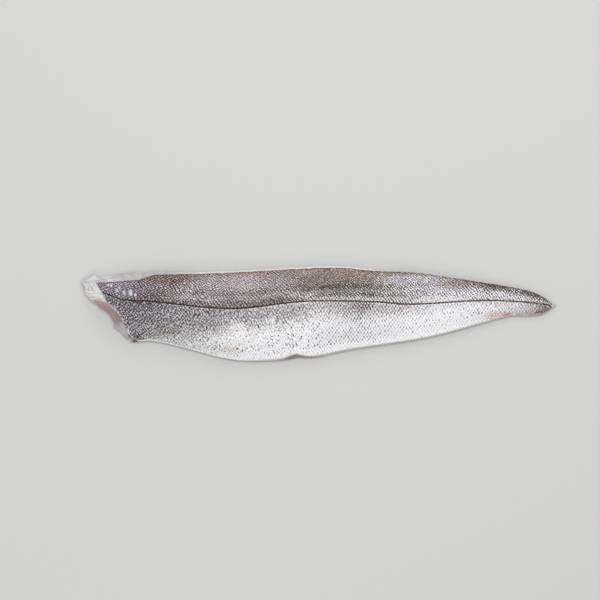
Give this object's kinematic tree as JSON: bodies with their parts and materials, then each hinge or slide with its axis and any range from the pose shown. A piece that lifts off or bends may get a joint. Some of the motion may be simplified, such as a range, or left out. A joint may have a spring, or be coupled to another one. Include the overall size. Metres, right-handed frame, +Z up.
{
  "type": "skin-on hake fillet",
  "caption": "Long raw white-fish fillet lying flat, skin side up: silver-grey scaled skin with a dark lateral line, bare pale flesh at the slanted head cut, tapering to the tail.",
  "frame": {"origin": "on the surface the fillet lies on, under the middle of its length and width", "axes": "+X from the head cut towards the tail, +Y from the belly edge towards the back edge, +Z up out of the skin"},
  "size_m": [0.3954, 0.0794, 0.0223],
  "materials": {
    "silver_skin": "wet scaled fish skin, mauve-grey on the back and silvery white on the belly",
    "raw_flesh": "moist raw white fish flesh with a faint pink tint"
  },
  "bodies": {
    "root": {"hake_fillet": "silver_skin"}
  },
  "joints": []
}
